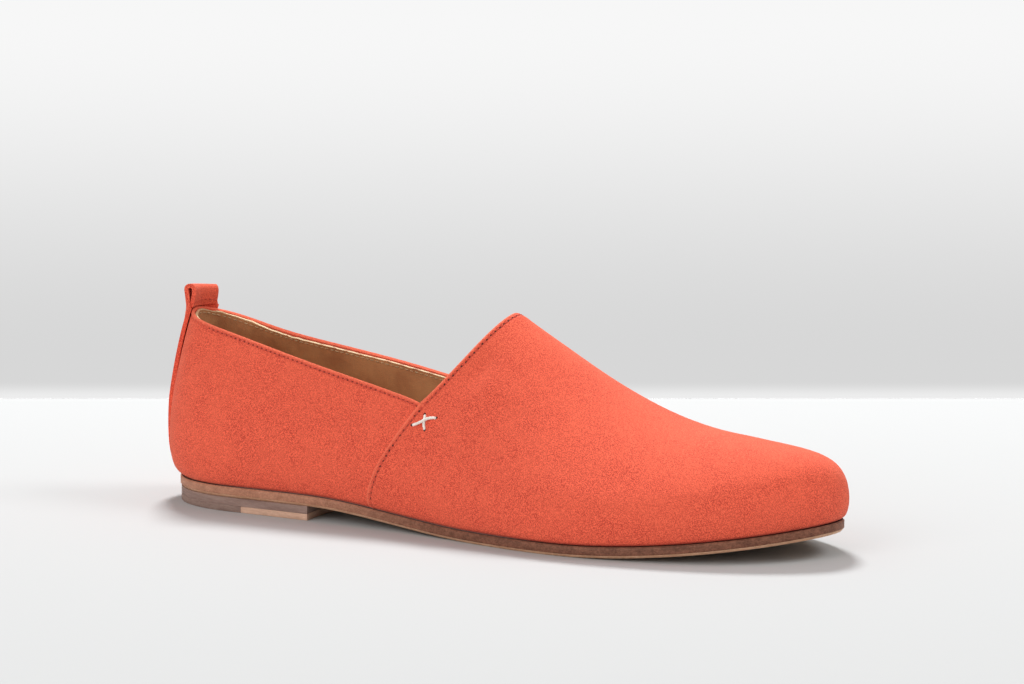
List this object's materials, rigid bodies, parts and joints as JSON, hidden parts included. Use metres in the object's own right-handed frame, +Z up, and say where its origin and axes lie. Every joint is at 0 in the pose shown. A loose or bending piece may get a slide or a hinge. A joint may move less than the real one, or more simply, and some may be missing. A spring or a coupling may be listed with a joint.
{
  "type": "slip-on shoe",
  "caption": "Right-foot suede slip-on shoe cut low like an espadrille, with a thin leather sole, a low stacked heel and a pull loop at the back.",
  "frame": {"origin": "on the floor, under the middle of the shoe's box", "axes": "+X towards the toe, +Y towards the inner side of the foot, +Z up"},
  "size_m": [0.3112, 0.1022, 0.089],
  "materials": {
    "suede": "coral-red suede, matt",
    "sole_leather": "brown leather with a stained edge",
    "insole_leather": "smooth tan leather",
    "heel_leather": "grey-brown leather with a stained edge",
    "heel_rubber": "matt grey-brown rubber",
    "tip_leather": "light tan leather with a cut edge"
  },
  "bodies": {
    "root": {"upper": "suede", "heel_strap": "suede", "outsole": "sole_leather", "insole": "insole_leather", "heel_lift": "heel_leather", "top_piece_rubber": "heel_rubber", "top_piece_leather": "tip_leather"}
  },
  "joints": []
}
